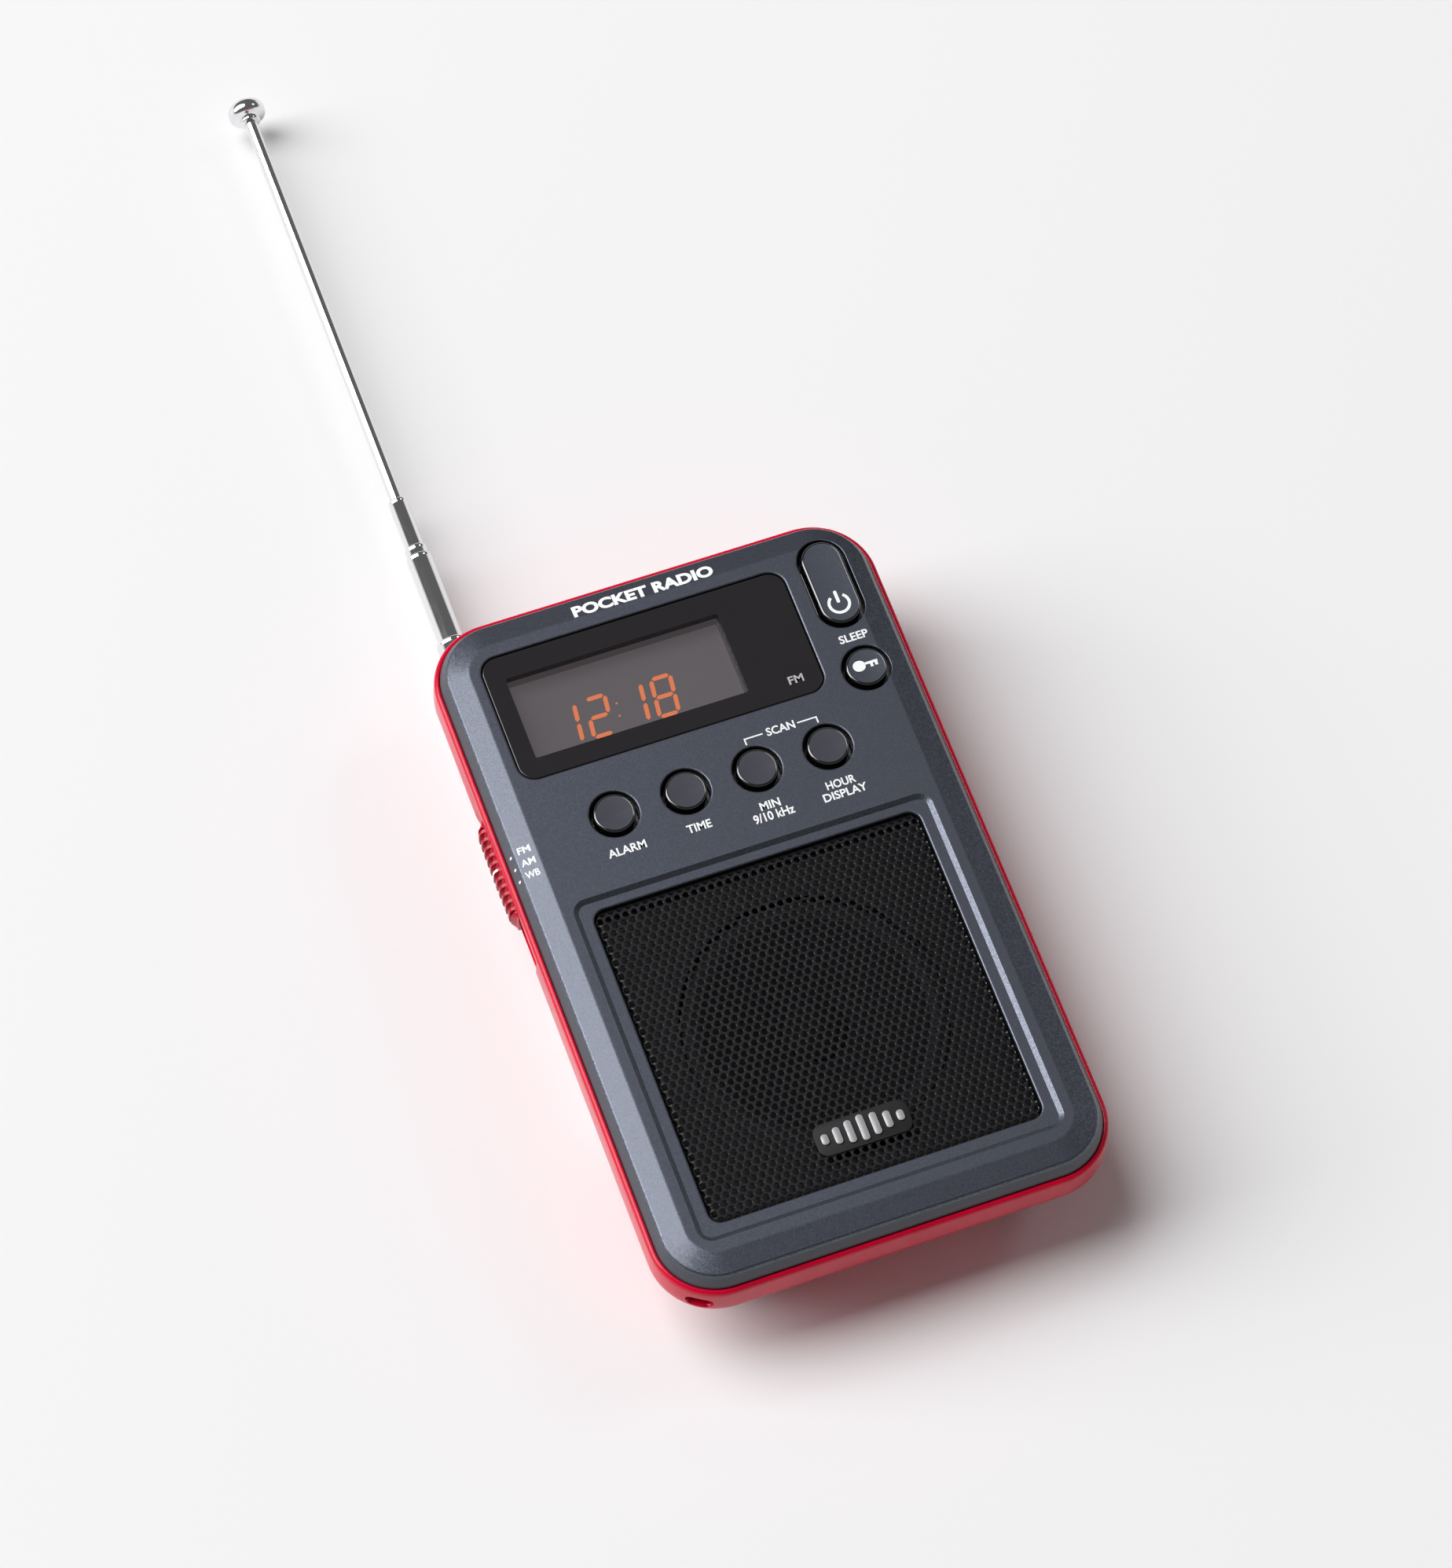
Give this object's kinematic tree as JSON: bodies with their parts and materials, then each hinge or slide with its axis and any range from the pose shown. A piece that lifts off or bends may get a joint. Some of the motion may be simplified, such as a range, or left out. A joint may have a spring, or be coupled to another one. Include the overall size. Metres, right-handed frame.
{
  "type": "transistor pocket radio",
  "caption": "Pocket radio with a digital display, round keys, perforated speaker grille, side band switch, volume wheel, sliding battery door and telescopic aerial.",
  "frame": {"origin": "middle of the flat back that the radio lies on", "axes": "+Z out of the face, +Y towards the aerial end of the case, +X to the right of the display"},
  "size_m": [0.0641, 0.1995, 0.0209],
  "materials": {
    "front_shell": "satin metallic blue-grey paint on moulded plastic",
    "rear_shell": "glossy crimson moulding",
    "window": "dark tinted acrylic window with a clear area over the display",
    "lcd": "grey liquid crystal cell",
    "grey_plastic": "moulded inner part",
    "white_plastic": "milky light guide or ivory moulding",
    "grille_metal": "black painted perforated steel",
    "silver": "bright metal trim",
    "chrome": "polished chrome plating",
    "steel": "plated steel",
    "black_paper": "treated paper cone",
    "rubber": "soft rubber or foam",
    "board": "green solder mask over glass laminate",
    "component": "black epoxy package",
    "capacitor": "dark blue sleeve",
    "ferrite": "sintered ferrite",
    "copper": "enamelled copper wire",
    "battery": "printed cell jacket",
    "wire": "insulated hookup wire",
    "key_paint": "case-coloured top on a black cap",
    "key_black": "black cap with a glossy bevel",
    "knob_red": "ribbed crimson slider"
  },
  "bodies": {
    "case": {"front_case": "front_shell", "rear_case": "rear_shell", "display_lens": "window", "lcd_glass": "lcd", "lcd_holder": "grey_plastic", "lcd_backlight": "white_plastic", "zebra_strip": "rubber", "speaker_grille": "grille_metal", "grille_badge": "silver", "speaker_gasket": "rubber", "speaker_frame": "steel", "speaker_magnet": "steel", "speaker_cone": "black_paper", "speaker_surround": "rubber", "speaker_dust_cap": "black_paper", "voice_coil": "copper", "main_board": "board", "key_switches": "component", "tuner_chip": "component", "clock_chip": "component", "amplifier_chip": "component", "capacitors": "capacitor", "clock_crystal": "steel", "ferrite_rod": "ferrite", "ferrite_coil": "copper", "ferrite_clips": "white_plastic", "band_switch": "steel", "volume_control": "component", "earphone_jack": "component", "battery_left": "battery", "battery_right": "battery", "battery_springs": "steel", "battery_plates": "steel", "hookup_wires": "wire", "case_screws": "steel", "board_screws": "steel", "lanyard_pin": "steel", "aerial_contact": "steel", "aerial_screw": "steel"},
    "power_key": {"power_button": "key_paint"},
    "lock_key": {"lock_button": "key_paint"},
    "alarm_key": {"alarm_button": "key_black"},
    "time_key": {"time_button": "key_black"},
    "scan_down_key": {"scan_down_button": "key_black"},
    "scan_up_key": {"scan_up_button": "key_black"},
    "band_slider": {"band_knob": "knob_red", "band_lever": "grey_plastic"},
    "wheel": {"volume_wheel": "knob_red", "wheel_screw": "steel"},
    "door": {"battery_door": "rear_shell"},
    "aerial_base": {"aerial_knuckle": "chrome", "aerial_outer_tube": "chrome"},
    "aerial_thick": {"aerial_thick_tube": "chrome"},
    "aerial_middle": {"aerial_middle_tube": "chrome"},
    "aerial_thin": {"aerial_thin_tube": "chrome"},
    "aerial_end": {"aerial_rod": "chrome", "aerial_tip": "chrome"}
  },
  "joints": [
    {"name": "power_press", "type": "slide", "parent": "case", "child": "power_key", "axis": [0, 0, 1], "range_m": [-0.0004, 0], "stiffness_N_per_m": 2500, "springref_m": 0.0002},
    {"name": "lock_press", "type": "slide", "parent": "case", "child": "lock_key", "axis": [0, 0, 1], "range_m": [-0.0004, 0], "stiffness_N_per_m": 2500, "springref_m": 0.0002},
    {"name": "alarm_press", "type": "slide", "parent": "case", "child": "alarm_key", "axis": [0, 0, 1], "range_m": [-0.0004, 0], "stiffness_N_per_m": 2500, "springref_m": 0.0002},
    {"name": "time_press", "type": "slide", "parent": "case", "child": "time_key", "axis": [0, 0, 1], "range_m": [-0.0004, 0], "stiffness_N_per_m": 2500, "springref_m": 0.0002},
    {"name": "scan_down_press", "type": "slide", "parent": "case", "child": "scan_down_key", "axis": [0, 0, 1], "range_m": [-0.0004, 0], "stiffness_N_per_m": 2500, "springref_m": 0.0002},
    {"name": "scan_up_press", "type": "slide", "parent": "case", "child": "scan_up_key", "axis": [0, 0, 1], "range_m": [-0.0004, 0], "stiffness_N_per_m": 2500, "springref_m": 0.0002},
    {"name": "band_slide", "type": "slide", "parent": "case", "child": "band_slider", "axis": [0, 1, 0], "range_m": [-0.00366, 0]},
    {"name": "volume_turn", "type": "hinge", "parent": "case", "child": "wheel", "pos_m": [0.023, 0.02, 0.009], "axis": [0, 0, 1], "range_deg": [-140, 140]},
    {"name": "door_slide", "type": "slide", "parent": "case", "child": "door", "axis": [0, 1, 0], "range_m": [0, 0.052]},
    {"name": "aerial_swing", "type": "hinge", "parent": "case", "child": "aerial_base", "pos_m": [-0.0249, -0.0195, 0.005], "axis": [0, 0, 1], "range_deg": [0, 120]},
    {"name": "thick_tube_slide", "type": "slide", "parent": "aerial_base", "child": "aerial_thick", "axis": [0, 1, 0], "range_m": [-0.0134, 0.0493]},
    {"name": "middle_tube_slide", "type": "slide", "parent": "aerial_thick", "child": "aerial_middle", "axis": [0, 1, 0], "range_m": [-0.0008, 0.0613]},
    {"name": "thin_tube_slide", "type": "slide", "parent": "aerial_middle", "child": "aerial_thin", "axis": [0, 1, 0], "range_m": [-0.0072, 0.0548]},
    {"name": "rod_slide", "type": "slide", "parent": "aerial_thin", "child": "aerial_end", "axis": [0, 1, 0], "range_m": [-0.0655, 0]}
  ]
}
